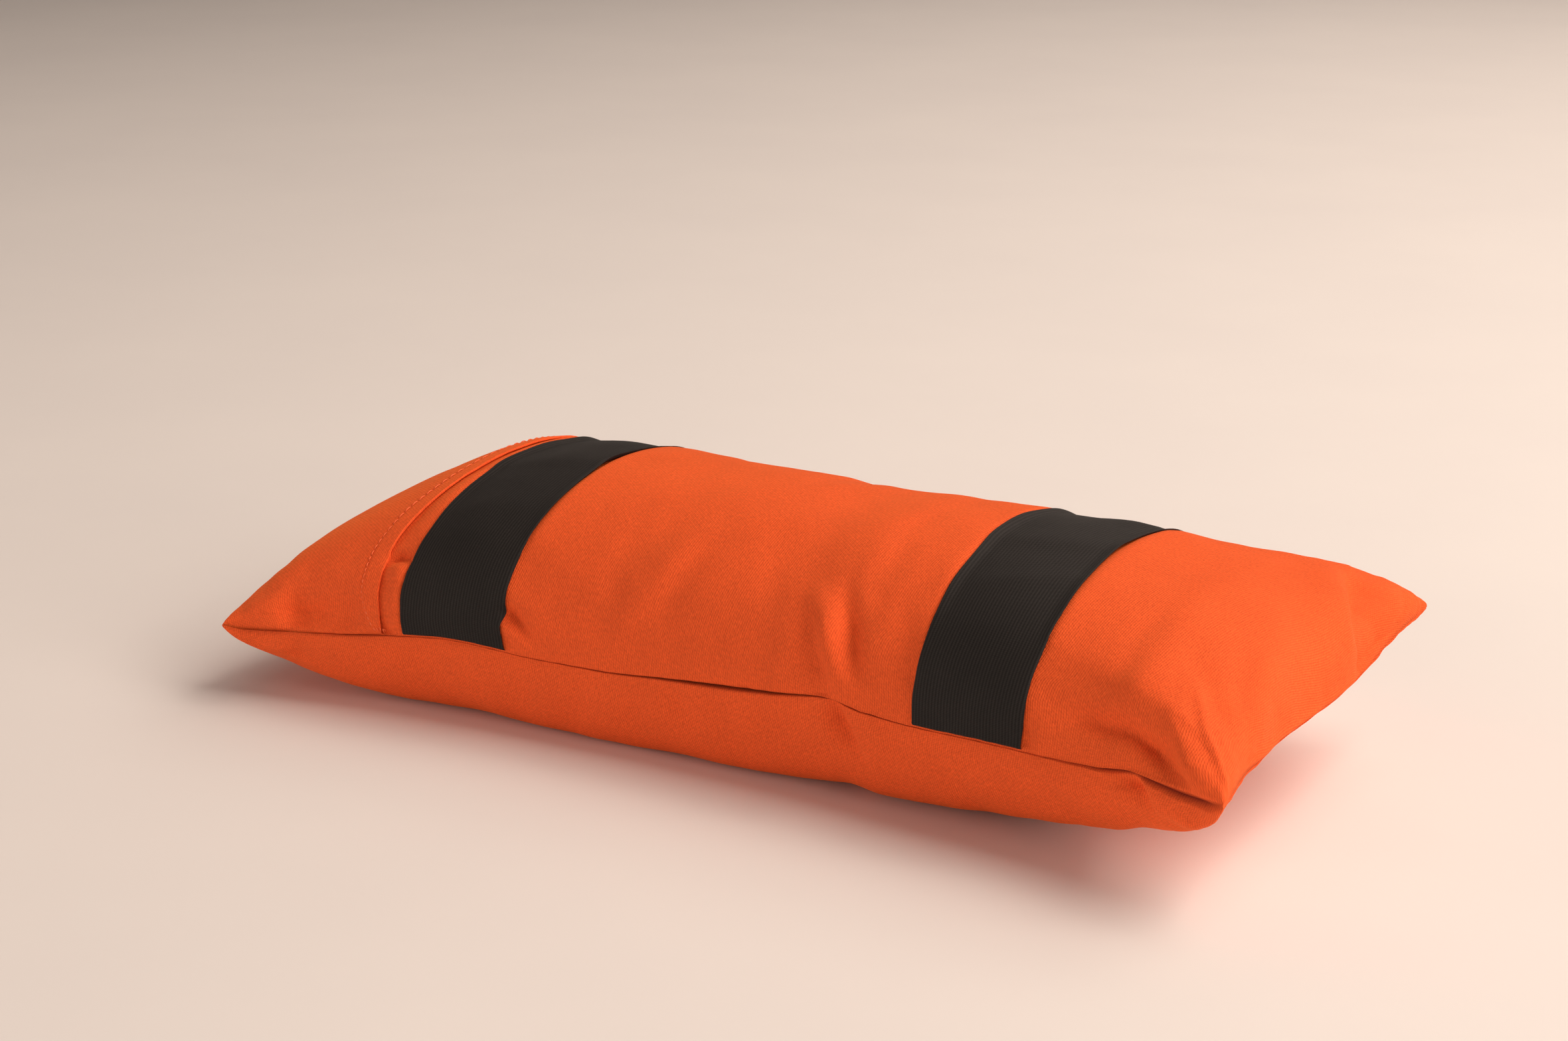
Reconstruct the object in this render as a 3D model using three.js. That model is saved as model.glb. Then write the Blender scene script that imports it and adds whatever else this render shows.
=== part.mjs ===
// Meditation stool cushion: a filled oblong cushion with pointed corners, a closure flap over its left
// end and two wide elastic straps across its top.
// Millimetres, +Z up. It lies on its back on the plane z = 0, its length along X, its front towards -Y.
import * as THREE from 'three';

// Outline of the sewn cover, seen from above
const HALF_LENGTH = 235;
const HALF_WIDTH = 109.5;
const SIDE_DRAW = 26.5;
const SIDE_DRAW_POWER = 0.74;
const END_DRAW = 4;

// Filling: how high the crown stands above the long seams, and how far the belly hangs below them
const CROWN = 61;
const CROWN_END_SWELL = 0.11;
const CROWN_ROUNDNESS = 0.73;
const CROWN_FORWARD_LEAN = 0.05;
const BELLY = 57;
const BELLY_ROUNDNESS = 0.76;
const FLOOR_EASE = 3;

// How bluntly the crown and belly run out at each end
const LEFT_END = { reach: 3.5, bluntness: 0.43, sag: 1.6 };
const RIGHT_END = { reach: 2.33, bluntness: 0.32, sag: 3.5 };

// How the underside rises to the right end: the most that the belly hangs below the seams, as depth over
// distance from that end, at the front seam, in the middle and at the back seam
const RIGHT_RISE = { front: 2.1, middle: 0.45, back: 1.3, power: 2.9, sharpness: 4 };

// Cloth and elastic
const GAP = 0.3;
const FLAP_THICKNESS = 1.5;
const FLAP_EDGE_X = -160.5;
const FLAP_EASE_X = -151;
const STRAP_THICKNESS = 1.5;
const STRAP_WIDTH = 50;
const STRAP_LEFT_X = -125;
const STRAP_RIGHT_X = 121.5;

// Panel width from seam to crown, measured along the cloth, which turns 'across' into millimetres
const HALF_PANEL = 117;

// How steeply a layer sewn into a seam leaves it, as rise over run
const SEAM_LEAN = 0.7;

// How far from an end seam and from a long seam the cloth is held too firmly to fold
const END_HOLD = 24;
const SIDE_HOLD = 12;

// Height of the long seams above the floor, a row for each station along the length
const SEAM_ROWS = [
  { x: -235, front: 34.0, back: 43.0 },
  { x: -226, front: 32.3, back: 40.5 },
  { x: -205, front: 33.3, back: 40.0 },
  { x: -180, front: 35.2, back: 42.5 },
  { x: -150, front: 38.8, back: 45.0 },
  { x: -125, front: 40.6, back: 46.5 },
  { x: -80, front: 38.6, back: 45.2 },
  { x: -55, front: 38.6, back: 44.6 },
  { x: -20, front: 40.8, back: 46.4 },
  { x: 30, front: 44.5, back: 47.8 },
  { x: 57, front: 47.4, back: 46.6 },
  { x: 72, front: 45.0, back: 46.0 },
  { x: 95, front: 44.0, back: 46.8 },
  { x: 125, front: 44.8, back: 48.5 },
  { x: 160, front: 45.6, back: 49.6 },
  { x: 180, front: 46.6, back: 51.0 },
  { x: 193, front: 48.4, back: 51.4 },
  { x: 205, front: 46.9, back: 52.8 },
  { x: 218, front: 45.8, back: 55.6 },
  { x: 229, front: 46.3, back: 58.6 },
  { x: 235, front: 48.0, back: 60.3 },
];

// Broad swells and hollows of the crown along the length
const SWELL_ROWS = [
  { x: -60, height: 0.9, spread: 30 },
  { x: 40, height: -4.3, spread: 30 },
  { x: 170, height: -2.5, spread: 30 },
];

// Main folds of the top cloth. 'across' runs from -1 at the front seam over 0 at the crown to 1 at the
// back seam. A fold runs from (x, across) to (toX, toAcross); height is negative for a trough.
const TOP_FOLDS = [
  { x: 50, across: -0.56, toX: 50, toAcross: -0.76, height: 1.8, width: 8 },
  { x: 51, across: -0.78, toX: 63, toAcross: -0.97, height: 2.6, width: 7 },
  { x: 61, across: -0.62, toX: 73, toAcross: -0.94, height: -2.4, width: 8 },
  { x: 44, across: -0.80, toX: 51, toAcross: -0.96, height: -1.6, width: 6 },
  { x: -28, across: -0.50, toX: -34, toAcross: -0.88, height: 1.6, width: 11 },
  { x: -98, across: -0.86, toX: -84, toAcross: -0.95, height: -1.6, width: 5 },
  { x: -213, across: -0.97, toX: -207, toAcross: -0.78, height: 2.0, width: 7 },
  { x: -201, across: -0.95, toX: -198, toAcross: -0.82, height: -2.0, width: 6 },
  { x: 203, across: -0.87, toX: 205, toAcross: -0.80, height: -4.0, width: 15 },
  { x: 226, across: -0.74, toX: 212, toAcross: -0.52, height: 2.6, width: 8 },
  { x: 228, across: -0.42, toX: 220, toAcross: -0.22, height: 1.8, width: 8 },
  { x: 228, across: 0.20, toX: 218, toAcross: 0.12, height: -2.2, width: 8 },
  { x: 214, across: 0.86, toX: 196, toAcross: 0.70, height: -3.0, width: 12 },
  { x: 118, across: 0.96, toX: 108, toAcross: 0.74, height: -1.6, width: 9 },
  { x: 30, across: 0.96, toX: 24, toAcross: 0.68, height: 1.8, width: 10 },
  { x: -72, across: 0.96, toX: -66, toAcross: 0.74, height: -1.8, width: 9 },
  { x: -212, across: 0.88, toX: -196, toAcross: 0.72, height: -2.6, width: 11 },
];

// Main folds of the bottom cloth, with 'across' counted from the same two seams
const BOTTOM_FOLDS = [
  { x: 59, across: -0.97, toX: 65, toAcross: -0.76, height: -1.8, width: 8 },
  { x: 194, across: -0.97, toX: 197, toAcross: -0.84, height: -2.0, width: 6 },
  { x: 214, across: -0.68, toX: 200, toAcross: -0.62, height: 4.0, width: 18 },
  { x: 214, across: 0.84, toX: 198, toAcross: 0.70, height: -2.6, width: 11 },
  { x: 70, across: 0.97, toX: 62, toAcross: 0.78, height: -1.8, width: 9 },
  { x: -96, across: 0.97, toX: -104, toAcross: 0.78, height: -1.8, width: 8 },
  { x: -210, across: 0.86, toX: -196, toAcross: 0.74, height: -2.4, width: 10 },
  { x: -208, across: -0.86, toX: -194, toAcross: -0.76, height: -1.6, width: 9 },
];

// Fineness of the surfaces: columns in each stretch along the length, rows from a seam to the crown
const LEFT_COLUMNS = 10;
const EASE_COLUMNS = 2;
const STRAP_COLUMNS = 6;
const MIDDLE_COLUMNS = 30;
const RIGHT_COLUMNS = 12;
const HALF_ROWS = 11;
const ROW_CROWDING = 1.4;
const END_CROWDING = 2;
const TOP = 1;
const BOTTOM = -1;

// Value of one column of a table at x: a curve through the rows that never overshoots them
function tableValue(rows, column, x) {
  const last = rows.length - 1;
  const at = Math.min(Math.max(x, rows[0].x), rows[last].x);
  let row = 0;
  while (row < last - 1 && at > rows[row + 1].x) row += 1;
  const slope = (from) => (rows[from + 1][column] - rows[from][column]) / (rows[from + 1].x - rows[from].x);
  const tangent = (place) => {
    if (place === 0) return slope(0);
    if (place === last) return slope(last - 1);
    const before = slope(place - 1);
    const after = slope(place);
    return before * after <= 0 ? 0 : (2 * before * after) / (before + after);
  };
  const span = rows[row + 1].x - rows[row].x;
  const t = (at - rows[row].x) / span;
  const rise = 3 * t * t - 2 * t * t * t;
  const startPull = t * (1 - t) * (1 - t) * span * tangent(row);
  const endPull = t * t * (t - 1) * span * tangent(row + 1);
  return rows[row][column] * (1 - rise) + rows[row + 1][column] * rise + startPull + endPull;
}

function easeBetween(from, to, x) {
  const t = Math.min(Math.max((x - from) / (to - from), 0), 1);
  return t * t * (3 - 2 * t);
}

// Height with the part below the floor pressed flat, through a short rounded corner
function restOnFloor(z) {
  if (z > FLOOR_EASE) return z;
  if (z < -FLOOR_EASE) return 0;
  return (z + FLOOR_EASE) ** 2 / (4 * FLOOR_EASE);
}

// How far the filling lies lower under the closure flap, from 1 under it to 0 past its hem
function underFlap(along) {
  return 1 - easeBetween(FLAP_EDGE_X, FLAP_EASE_X, along * HALF_LENGTH);
}

// Depth of the belly below the seams where the filling alone would reach down to full: the smaller of that
// and what the rise of the right end allows, blended where they cross
function bellyDepth(full, along, across) {
  const { middle, power, sharpness } = RIGHT_RISE;
  const side = across < 0 ? RIGHT_RISE.front : RIGHT_RISE.back;
  const slope = middle + (side - middle) * Math.abs(across) ** power;
  const allowed = slope * (1 - along) * HALF_LENGTH;
  return (full ** -sharpness + allowed ** -sharpness) ** (-1 / sharpness);
}

// Smooth surface of the filled cushion before its folds: along runs -1 to 1 from left tip to right tip,
// across runs -1 to 1 from front seam to back seam. The left end is shorter by flapReach, so that the
// flap's outer face ends at the full half length.
function smoothPoint(along, across, side) {
  const end = along < 0 ? LEFT_END : RIGHT_END;
  const turn = Math.sin((Math.PI * across) / 2);
  const height = Math.max(Math.cos((Math.PI * across) / 2), 0);
  const flapReach = along < 0 ? ((GAP + FLAP_THICKNESS) / Math.hypot(1, SEAM_LEAN)) * along ** 4 : 0;
  const x = along * (HALF_LENGTH - END_DRAW * height * height) + flapReach;
  const y = (HALF_WIDTH - SIDE_DRAW * (1 - along * along) ** SIDE_DRAW_POWER) * turn;
  const station = along * HALF_LENGTH;
  const front = tableValue(SEAM_ROWS, 'front', station);
  const back = tableValue(SEAM_ROWS, 'back', station);
  const seam = front + ((back - front) * (turn + 1)) / 2 - end.sag * along ** 4 * (1 - across * across);
  const runOut = (1 - Math.abs(along) ** end.reach) ** end.bluntness;
  if (side === BOTTOM) {
    const full = BELLY * runOut * height ** BELLY_ROUNDNESS;
    return new THREE.Vector3(x, y, seam - bellyDepth(full, along, across));
  }
  let crown = CROWN * (1 + CROWN_END_SWELL * along * along) - (GAP + FLAP_THICKNESS) * underFlap(along);
  for (const swell of SWELL_ROWS) {
    crown += swell.height * Math.exp(-(((station - swell.x) / swell.spread) ** 2));
  }
  const lean = 1 - CROWN_FORWARD_LEAN * turn;
  return new THREE.Vector3(x, y, seam + crown * runOut * height ** CROWN_ROUNDNESS * lean);
}

// Unit direction out of the cloth. Along the seams it points away from the middle and leans up or down
// by SEAM_LEAN, to the side of the cloth that it belongs to; at a tip it is halfway between both seams.
function outward(along, across, side) {
  const step = 0.002;
  const shifted = (alongShift, acrossShift) => {
    const shiftedAlong = Math.min(Math.max(along + alongShift, -1), 1);
    const shiftedAcross = Math.min(Math.max(across + acrossShift, -1), 1);
    return smoothPoint(shiftedAlong, shiftedAcross, side);
  };
  const lengthwise = shifted(step, 0).sub(shifted(-step, 0));
  const crosswise = shifted(0, step).sub(shifted(0, -step));
  const onEnd = Math.abs(along) > 1 - step;
  const onSide = Math.abs(across) > 1 - step;
  if (!onEnd && !onSide) return lengthwise.cross(crosswise).normalize().multiplyScalar(side);
  const fromSide = new THREE.Vector3(-lengthwise.y, lengthwise.x, 0).normalize();
  const fromEnd = new THREE.Vector3(crosswise.y, -crosswise.x, 0).normalize();
  const away = new THREE.Vector3();
  if (onSide) away.addScaledVector(fromSide, Math.sign(across));
  if (onEnd) away.addScaledVector(fromEnd, Math.sign(along));
  away.normalize();
  away.z = side * SEAM_LEAN;
  return away.normalize();
}

// Height of the folds at a place, each one a ridge or trough that fades to both sides and its ends. All
// folds die out at the seams, which hold the cloth.
function foldHeight(along, across, side) {
  const fromEnd = (1 - Math.abs(along)) * HALF_LENGTH;
  const fromSide = (1 - Math.abs(across)) * HALF_PANEL;
  const freedom = easeBetween(0, END_HOLD, fromEnd) * easeBetween(0, SIDE_HOLD, fromSide);
  const x = along * HALF_LENGTH;
  const y = across * HALF_PANEL;
  let height = 0;
  for (const fold of side === TOP ? TOP_FOLDS : BOTTOM_FOLDS) {
    const startY = fold.across * HALF_PANEL;
    const runX = fold.toX - fold.x;
    const runY = fold.toAcross * HALF_PANEL - startY;
    const t = ((x - fold.x) * runX + (y - startY) * runY) / (runX * runX + runY * runY);
    const held = Math.min(Math.max(t, 0), 1);
    const distance = Math.hypot(x - fold.x - held * runX, y - startY - held * runY);
    height += fold.height * Math.exp(-((distance / fold.width) ** 2));
  }
  return height * freedom;
}

// Point of the filled body's face, or of a layer that lies on it, lifted off it by lift
function coverPoint(along, across, side, lift) {
  const point = smoothPoint(along, across, side);
  point.addScaledVector(outward(along, across, side), foldHeight(along, across, side) + lift);
  point.z = restOnFloor(point.z);
  return point;
}

// Lengthwise stations of a stretch, crowded towards the tips where the cushion runs out
function stretch(from, to, columns, crowding) {
  const stations = [];
  for (let column = 0; column <= columns; column += 1) {
    const t = column / columns;
    stations.push((from + (to - from) * t ** crowding) / HALF_LENGTH);
  }
  return stations;
}

function strapStations(middle) {
  return stretch(middle - STRAP_WIDTH / 2, middle + STRAP_WIDTH / 2, STRAP_COLUMNS, 1);
}

const leftStations = stretch(-HALF_LENGTH, FLAP_EDGE_X, LEFT_COLUMNS, END_CROWDING);
const leftStrap = strapStations(STRAP_LEFT_X);
const rightStrap = strapStations(STRAP_RIGHT_X);
const leftStrapEdge = STRAP_LEFT_X - STRAP_WIDTH / 2;
const rightStrapEdge = STRAP_RIGHT_X + STRAP_WIDTH / 2;
const middleFrom = STRAP_LEFT_X + STRAP_WIDTH / 2;
const middleTo = STRAP_RIGHT_X - STRAP_WIDTH / 2;
const bodyStations = [
  ...leftStations,
  ...stretch(FLAP_EDGE_X, leftStrapEdge, EASE_COLUMNS, 1).slice(1),
  ...leftStrap.slice(1),
  ...stretch(middleFrom, middleTo, MIDDLE_COLUMNS, 1).slice(1),
  ...rightStrap.slice(1),
  ...stretch(HALF_LENGTH, rightStrapEdge, RIGHT_COLUMNS, END_CROWDING).reverse().slice(1),
];

// Crosswise stations, crowded towards both seams where the cloth turns over steeply
const rowStations = [];
for (let row = -HALF_ROWS; row <= HALF_ROWS; row += 1) {
  const fromSeam = (1 - Math.abs(row) / HALF_ROWS) ** ROW_CROWDING;
  rowStations.push(Math.sign(row) * (1 - fromSeam));
}

// Closed skin between an outer and an inner sheet of points on the same stations. Points that both sheets
// share, as along a sewn seam, are stored once. Each cell is split along the diagonal that points to the
// nearest tip, on both sheets alike, so that layers stay parallel.
function closedSkin(stations, outerPoint, innerPoint) {
  const positions = [];
  const index = [];
  const stored = new Map();
  const place = (point) => {
    const key = `${point.x.toFixed(4)} ${point.y.toFixed(4)} ${point.z.toFixed(4)}`;
    if (!stored.has(key)) {
      stored.set(key, positions.length / 3);
      positions.push(point.x, point.y, point.z);
    }
    return stored.get(key);
  };
  const sheet = (pointAt) =>
    stations.map((along) => rowStations.map((across) => place(pointAt(along, across))));
  const outer = sheet(outerPoint);
  const inner = sheet(innerPoint);
  const triangle = (a, b, c) => {
    if (a !== b && b !== c && c !== a) index.push(a, b, c);
  };
  const quad = (a, b, c, d) => {
    triangle(a, b, c);
    triangle(a, c, d);
  };
  const lastColumn = stations.length - 1;
  const lastRow = rowStations.length - 1;
  for (let i = 0; i < lastColumn; i += 1) {
    const towardsLeft = stations[i] + stations[i + 1] < 0;
    for (let j = 0; j < lastRow; j += 1) {
      const towardsFront = rowStations[j] + rowStations[j + 1] < 0;
      const face = [outer[i][j], outer[i + 1][j], outer[i + 1][j + 1], outer[i][j + 1]];
      const lining = [inner[i][j], inner[i][j + 1], inner[i + 1][j + 1], inner[i + 1][j]];
      if (towardsLeft !== towardsFront) {
        face.push(face.shift());
        lining.push(lining.shift());
      }
      quad(...face);
      quad(...lining);
    }
    quad(inner[i][0], inner[i + 1][0], outer[i + 1][0], outer[i][0]);
    quad(outer[i][lastRow], outer[i + 1][lastRow], inner[i + 1][lastRow], inner[i][lastRow]);
  }
  for (let j = 0; j < lastRow; j += 1) {
    quad(inner[0][j], outer[0][j], outer[0][j + 1], inner[0][j + 1]);
    quad(outer[lastColumn][j], inner[lastColumn][j], inner[lastColumn][j + 1], outer[lastColumn][j + 1]);
  }
  const geometry = new THREE.BufferGeometry();
  geometry.setAttribute('position', new THREE.Float32BufferAttribute(positions, 3));
  geometry.setIndex(index);
  geometry.computeVertexNormals();
  return geometry;
}

// Filled body of orange cotton twill: top and bottom cloth meet in one seam all round
function cushionBody() {
  const top = (along, across) => coverPoint(along, across, TOP, 0);
  const bottom = (along, across) => coverPoint(along, across, BOTTOM, 0);
  return closedSkin(bodyStations, top, bottom);
}

// Layer of even thickness that lies on the top cloth from seam to seam: the closure flap over the left
// end, with its hem at FLAP_EDGE_X, and the two elastic straps
function layerOnTop(stations, thickness) {
  const outer = (along, across) => coverPoint(along, across, TOP, GAP + thickness);
  const inner = (along, across) => coverPoint(along, across, TOP, GAP);
  return closedSkin(stations, outer, inner);
}

const twill = { color: '#e4572a', roughness: 0.85, metalness: 0 };
const elastic = { color: '#23201f', roughness: 0.7, metalness: 0 };

function addPiece(group, name, geometry, finish) {
  const mesh = new THREE.Mesh(geometry, new THREE.MeshStandardMaterial(finish));
  mesh.name = name;
  group.add(mesh);
}

const cushion = new THREE.Group();
addPiece(cushion, 'cushion_body', cushionBody(), twill);
addPiece(cushion, 'closure_flap', layerOnTop(leftStations, FLAP_THICKNESS), twill);
addPiece(cushion, 'strap_left', layerOnTop(leftStrap, STRAP_THICKNESS), elastic);
addPiece(cushion, 'strap_right', layerOnTop(rightStrap, STRAP_THICKNESS), elastic);

export default cushion;
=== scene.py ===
"""Meditation stool cushion: a filled oblong cushion in orange cotton twill with drawn-out corners, a closure
flap with a stitched hem over its left end, and two wide black elastics across its top. It lies on its back
on a pale floor. All shapes are worked out in millimetres and put into the meshes in metres."""
import bpy
import numpy as np
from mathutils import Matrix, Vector


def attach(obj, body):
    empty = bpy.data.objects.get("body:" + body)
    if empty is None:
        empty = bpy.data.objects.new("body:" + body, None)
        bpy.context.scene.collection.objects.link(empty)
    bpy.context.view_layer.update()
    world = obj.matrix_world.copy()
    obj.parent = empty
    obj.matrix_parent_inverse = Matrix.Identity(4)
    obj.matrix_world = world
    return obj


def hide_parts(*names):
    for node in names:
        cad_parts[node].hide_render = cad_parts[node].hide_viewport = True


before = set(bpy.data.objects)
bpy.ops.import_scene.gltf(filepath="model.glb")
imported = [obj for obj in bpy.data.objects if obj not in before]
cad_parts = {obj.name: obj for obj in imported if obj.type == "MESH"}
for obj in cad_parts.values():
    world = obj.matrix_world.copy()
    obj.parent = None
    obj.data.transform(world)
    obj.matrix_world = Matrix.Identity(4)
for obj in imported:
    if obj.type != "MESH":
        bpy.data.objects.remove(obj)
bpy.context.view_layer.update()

MM = 0.001
TOP, BOTTOM = 1, -1

# Outline of the sewn cover and its filling, as the solids have them
HALF_LENGTH = 235.0
HALF_WIDTH = 109.5
SIDE_DRAW, SIDE_DRAW_POWER = 26.5, 0.74
END_DRAW = 4.0
CROWN, CROWN_END_SWELL, CROWN_ROUNDNESS, CROWN_FORWARD_LEAN = 61.0, 0.11, 0.73, 0.05
BELLY, BELLY_ROUNDNESS = 57.0, 0.76
FLOOR_EASE = 3.0
LEFT_REACH, LEFT_BLUNTNESS, LEFT_SAG = 3.5, 0.43, 1.6
RIGHT_REACH, RIGHT_BLUNTNESS, RIGHT_SAG = 2.33, 0.32, 3.5
# Rise of the underside to the right end, as the most depth over distance from that end
RISE_FRONT, RISE_MIDDLE, RISE_BACK, RISE_POWER, RISE_SHARPNESS = 2.1, 0.45, 1.3, 2.9, 4.0

# Half a panel's width from crown to seam along the cloth, and how that distance grows with 'across'
HALF_PANEL, PANEL_POWER = 117.0, 0.714

# Height of the two long seams above the floor: station along the length, front seam, back seam
SEAM_ROWS = np.array([
    (-235, 34.0, 43.0), (-226, 32.3, 40.5), (-205, 33.3, 40.0), (-180, 35.2, 42.5), (-150, 38.8, 45.0),
    (-125, 40.6, 46.5), (-80, 38.6, 45.2), (-55, 38.6, 44.6), (-20, 40.8, 46.4), (30, 44.5, 47.8),
    (57, 47.4, 46.6), (72, 45.0, 46.0), (95, 44.0, 46.8), (125, 44.8, 48.5), (160, 45.6, 49.6),
    (180, 46.6, 51.0), (193, 48.4, 51.4), (205, 46.9, 52.8), (218, 45.8, 55.6), (229, 46.3, 58.6),
    (235, 48.0, 60.3)])

# Broad swells and hollows of the crown: station, height, spread
SWELL_ROWS = [(-60, 0.9, 30), (40, -4.3, 30), (170, -2.5, 30)]

# Creases of the top cloth. A row is the crease's width on its left and on its right, looked at from its
# first point to its last, how near a seam it begins to flatten out, and its points. A point is x, cloth
# distance from the crown (front seam -117, back seam 117) and height of the ridge, or depth where negative.
TOP_CREASES = [
    # the fold in the middle of the front: its crest with the lit flank right of it, the valleys on both sides
    (4.6, 5.0, 5, [(40, -50, 0.2), (43, -58, 1.3), (51, -74, 2.4), (56, -89, 2.6), (61, -101, 2.2),
                   (63, -109, 0.9)]),
    (6.0, 3.8, 4, [(54, -50, -0.8), (57, -60, -2.8), (61, -73, -4.0), (64, -86, -3.5), (67, -96, -2.0)]),
    (3.6, 9.0, 3, [(42, -70, -0.8), (48, -84, -2.0), (52, -98, -2.8), (55, -111, -1.8)]),
    (6.0, 8.0, 9, [(33, -70, 0.5), (35, -104, 0.7)]),
    (8.0, 8.0, 9, [(14, -44, -0.4), (22, -60, -0.9), (28, -72, -0.6)]),
    # the soft fold left of it
    (7.0, 9.0, 9, [(-22, -40, 0.3), (-30, -56, 1.4), (-38, -76, 1.5), (-44, -96, 0.8)]),
    (8.0, 6.0, 9, [(-16, -46, -0.4), (-21, -62, -1.3), (-24, -82, -1.1)]),
    (6.0, 8.0, 9, [(-48, -74, -1.0), (-52, -98, -0.8)]),
    # the gathered pocket beside the left elastic
    (3.4, 3.6, 4, [(-103, -93, -3.4), (-97, -95, -3.0), (-91, -101, -2.2), (-84, -108, -0.8)]),
    (3.6, 4.2, 3, [(-102, -101, 2.0), (-96, -103, 2.4), (-90, -107, 1.5), (-86, -111, 0.5)]),
    (7.0, 4.5, 9, [(-103, -82, 1.0), (-92, -86, 1.1), (-82, -95, 0.5)]),
    # the left end: a broad soft ridge above the seam and the hollow right of it
    (9.0, 9.0, 4, [(-219, -78, 0.4), (-217, -96, 1.8), (-216, -112, 1.4)]),
    (10.0, 6.0, 4, [(-205, -74, -0.8), (-204, -86, -3.4), (-203, -100, -5.0), (-202, -112, -2.6)]),
    (13.0, 9.0, 5, [(-202, -100, -1.6), (-192, -103, -4.2), (-178, -104, -3.0), (-168, -104, -1.0)]),
    (2.5, 3.0, 3, [(-196, -98, 0.4), (-194, -109, 0.9)]),
    # the flap stands up beside the left elastic, and so does the cloth on the elastic's other side
    (14.0, 17.0, 9, [(-176, -30, 0.3), (-166, 0, 1.2), (-165, 30, 1.7), (-168, 70, 0.8)]),
    (14.0, 11.0, 9, [(-90, -40, 0.1), (-86, -5, 0.2), (-86, 30, 0.3), (-88, 70, 0.1)]),
    # the panel between hem and left elastic
    (5.0, 4.0, 9, [(-155, -72, 1.2), (-153, -106, 1.2)]),
    (2.2, 3.6, 9, [(-159.5, -66.5, -3.4), (-154, -68, -3.4)]),
    (3.5, 6.0, 9, [(-158, -75, 1.1), (-154, -76, 1.1)]),
    (4.0, 4.0, 9, [(-156, -22, 0.7), (-156, -50, 0.7)]),
    # both sides of the right elastic
    (5.0, 10.0, 9, [(84, -58, -0.5), (89, -74, -2.1), (93, -90, -2.2), (96, -106, -0.7)]),
    (3.5, 3.0, 3, [(148, -104, -1.2), (148, -111, -1.4)]),
    (5.0, 4.0, 9, [(153, -96, 0.8), (152, -108, 0.8)]),
    # the right end's front corner: the soft ridge above the hollow, the hollow over the seam, the ear's
    # rounded flank, the thin crest that runs out to the tip, the shallow valley beyond that
    (15.0, 7.0, 9, [(158, -57, 0.8), (174, -60, 2.2), (190, -64, 3.0), (203, -67, 1.6)]),
    (10.0, 8.0, 5, [(160, -84, -1.2), (174, -88, -4.0), (188, -89, -5.6), (201, -94, -6.0),
                    (210, -100, -2.8)]),
    (10.0, 5.5, 3, [(199, -60, 0.3), (209, -70, 2.0), (215, -80, 3.6), (219, -90, 4.0), (223, -100, 3.2),
                    (228, -109, 1.5)]),
    (3.0, 2.0, 2, [(211, -50, 0.3), (216, -57, 1.2), (221, -66, 1.6), (227, -72, 1.6), (231, -77, 1.2),
                   (234, -82, 0.6)]),
    (6.0, 5.0, 4, [(203, -38, -0.3), (213, -44, -0.9), (223, -50, -1.2), (231, -54, -0.7)]),
    # the end's middle and the long fold before the back corner, with the hollow beyond it
    (5.0, 7.0, 4, [(214, -2, 0.4), (224, -12, 1.6), (230, -22, 2.2), (233, -34, 1.2)]),
    (6.0, 6.0, 4, [(217, -26, -0.6), (227, -38, -1.7), (232, -44, -1.0)]),
    (3.2, 9.0, 3, [(204, 46, 0.2), (213, 36, 1.4), (220, 27, 3.0), (226, 19, 3.4), (231, 14, 2.4),
                   (234, 11, 1.0)]),
    (12.0, 3.8, 3, [(218, 43, -0.8), (222, 37, -4.6), (228, 29, -6.2), (233, 22, -3.2)]),
    (10.0, 10.0, 5, [(226, 80, -1.6), (216, 94, -2.2)]),
    (18.0, 14.0, 9, [(174, 46, 0.6), (186, 48, 2.0), (198, 52, 3.2), (209, 56, 3.6), (219, 62, 2.2)]),
    (26.0, 24.0, 9, [(-6, 30, -1.4), (7, 34, -2.8), (20, 38, -1.4)]),
    # the back, much as the front has them
    (12.0, 10.0, 9, [(208, 98, -1.0), (200, 88, -2.6), (190, 78, -1.4)]),
    (6.0, 4.5, 9, [(160, 110, 0.8), (156, 92, 1.8), (153, 74, 0.5)]),
    (5.0, 8.0, 9, [(80, 112, -0.8), (76, 94, -2.0), (70, 78, -0.6)]),
    (4.0, 8.0, 9, [(28, 110, 1.0), (24, 90, 2.6), (19, 72, 1.0), (16, 60, 0.2)]),
    (6.0, 6.0, 9, [(38, 108, -0.8), (34, 88, -1.8), (28, 70, -0.5)]),
    (7.0, 4.5, 9, [(-60, 112, -0.8), (-56, 96, -2.0), (-50, 82, -0.5)]),
    (4.0, 6.0, 9, [(-70, 110, 0.9), (-67, 92, 1.8), (-60, 76, 0.4)]),
    (9.0, 11.0, 9, [(-214, 102, -1.2), (-204, 88, -3.0), (-194, 76, -1.0)]),
    (5.0, 7.0, 9, [(-226, 84, 0.6), (-214, 72, 2.0), (-202, 62, 0.6)]),
]

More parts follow.
